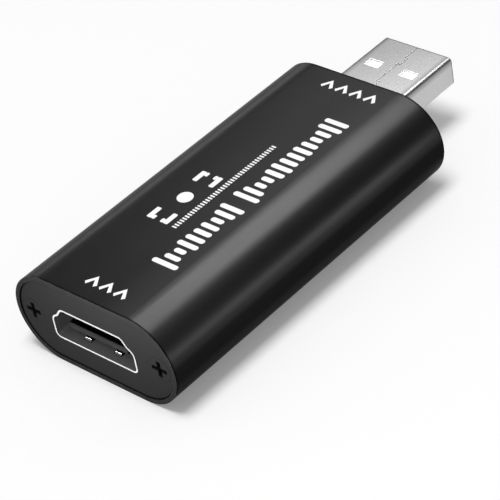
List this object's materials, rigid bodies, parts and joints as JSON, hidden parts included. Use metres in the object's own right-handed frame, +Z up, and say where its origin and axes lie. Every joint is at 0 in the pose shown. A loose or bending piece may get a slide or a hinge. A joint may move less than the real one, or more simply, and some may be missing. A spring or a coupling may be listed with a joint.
{
  "type": "video capture box",
  "caption": "Small black video capture box: an oval aluminium tube with screwed end plates, a video socket in one end and a standing type A plug at the other.",
  "frame": {"origin": "middle of the housing's flat underside, half way along the housing without the plug", "axes": "+X along the housing from the video socket towards the plug, +Y to the left of that, +Z up"},
  "size_m": [0.0686, 0.0284, 0.0136],
  "materials": {
    "black_anodised": "satin black anodised",
    "black_screw": "black oxide",
    "socket_steel": "bright plated sheet",
    "plug_steel": "satin nickel plate",
    "black_plastic": "matte",
    "white_plastic": "matte",
    "gold_contact": "gold plated",
    "green_board": "solder mask on glass epoxy",
    "chip_black": "moulded epoxy",
    "tinned_lead": "tinned",
    "can_steel": "drawn can",
    "ferrite": "ferrite",
    "yellow_body": "moulded",
    "tan_ceramic": "fired ceramic",
    "resistor_black": "coated ceramic"
  },
  "bodies": {
    "capture_box": {"housing_tube": "black_anodised", "input_end_plate": "black_anodised", "output_end_plate": "black_anodised", "input_plate_screws": "black_screw", "output_plate_screws": "black_screw", "video_socket_shell": "socket_steel", "video_socket_insulator": "black_plastic", "video_socket_contacts_upper": "gold_contact", "video_socket_contacts_lower": "gold_contact", "usb_plug_shell": "plug_steel", "usb_plug_insulator": "white_plastic", "usb_plug_contacts": "gold_contact", "main_board": "green_board", "capture_chip": "chip_black", "capture_chip_leads": "tinned_lead", "memory_chip": "chip_black", "memory_chip_leads": "tinned_lead", "voltage_regulator": "chip_black", "voltage_regulator_leads": "tinned_lead", "crystal_can": "can_steel", "crystal_leads": "tinned_lead", "power_inductor": "ferrite", "tank_capacitor": "yellow_body", "surge_arrays": "chip_black", "ceramic_capacitors": "tan_ceramic", "resistors": "resistor_black"},
    "right_spring": {"socket_spring_right": "socket_steel"},
    "left_spring": {"socket_spring_left": "socket_steel"}
  },
  "joints": [
    {"name": "right_spring_flex", "type": "hinge", "parent": "capture_box", "child": "right_spring", "pos_m": [-0.02155, -0.0024, 0.00428], "axis": [0, -1, 0], "range_deg": [0, 3.9], "stiffness_Nm_per_rad": 0.1},
    {"name": "left_spring_flex", "type": "hinge", "parent": "capture_box", "child": "left_spring", "pos_m": [-0.02155, 0.003, 0.00428], "axis": [0, -1, 0], "range_deg": [0, 3.9], "stiffness_Nm_per_rad": 0.1}
  ]
}
